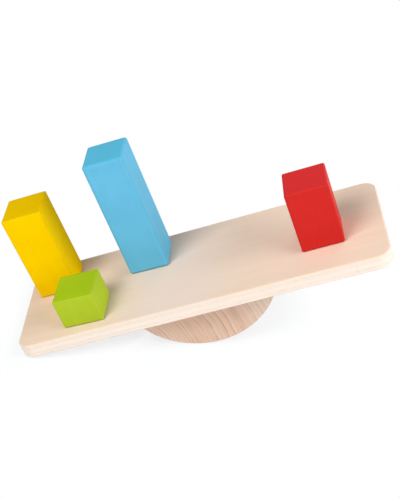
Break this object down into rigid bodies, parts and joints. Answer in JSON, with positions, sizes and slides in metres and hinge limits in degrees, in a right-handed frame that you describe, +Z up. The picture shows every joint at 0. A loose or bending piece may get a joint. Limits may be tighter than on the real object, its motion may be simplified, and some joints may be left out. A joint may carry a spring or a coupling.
{
  "type": "wooden balance game",
  "caption": "Wooden balance game: a plywood plank on a half-round rocker that tips on the table, loaded with square painted blocks of stepped heights.",
  "frame": {"origin": "on the table, at the middle of the line where the rocker touches it", "axes": "+X along the plank towards its raised end, +Y across the plank towards the back, +Z up from the table"},
  "size_m": [0.2518, 0.087, 0.1246],
  "materials": {
    "face_veneer": "pale veneer, clear satin varnish",
    "cross_veneer": "veneer edge, clear satin varnish",
    "core_veneer": "veneer edge, clear satin varnish",
    "end_grain": "solid wood with growth rings, clear satin varnish",
    "dowel_wood": "bare hardwood",
    "yellow_paint": "satin paint on wood",
    "green_paint": "satin paint on wood",
    "blue_paint": "satin paint on wood",
    "red_paint": "satin paint on wood"
  },
  "bodies": {
    "seesaw": {"top_face_ply": "face_veneer", "upper_cross_ply": "cross_veneer", "core_ply": "core_veneer", "lower_cross_ply": "cross_veneer", "bottom_face_ply": "face_veneer", "rocker": "end_grain", "left_dowel": "dowel_wood", "right_dowel": "dowel_wood"},
    "yellow": {"yellow_block": "yellow_paint"},
    "green": {"green_block": "green_paint"},
    "blue": {"blue_block": "blue_paint"},
    "red": {"red_block": "red_paint"}
  },
  "joints": [
    {"name": "yellow_lift", "type": "slide", "parent": "seesaw", "child": "yellow", "axis": [-0.3001, 0, 0.9539], "range_m": [0, 0.1]},
    {"name": "green_lift", "type": "slide", "parent": "seesaw", "child": "green", "axis": [-0.3001, 0, 0.9539], "range_m": [0, 0.1]},
    {"name": "blue_lift", "type": "slide", "parent": "seesaw", "child": "blue", "axis": [-0.3001, 0, 0.9539], "range_m": [0, 0.1]},
    {"name": "red_lift", "type": "slide", "parent": "seesaw", "child": "red", "axis": [-0.3001, 0, 0.9539], "range_m": [0, 0.1]}
  ]
}
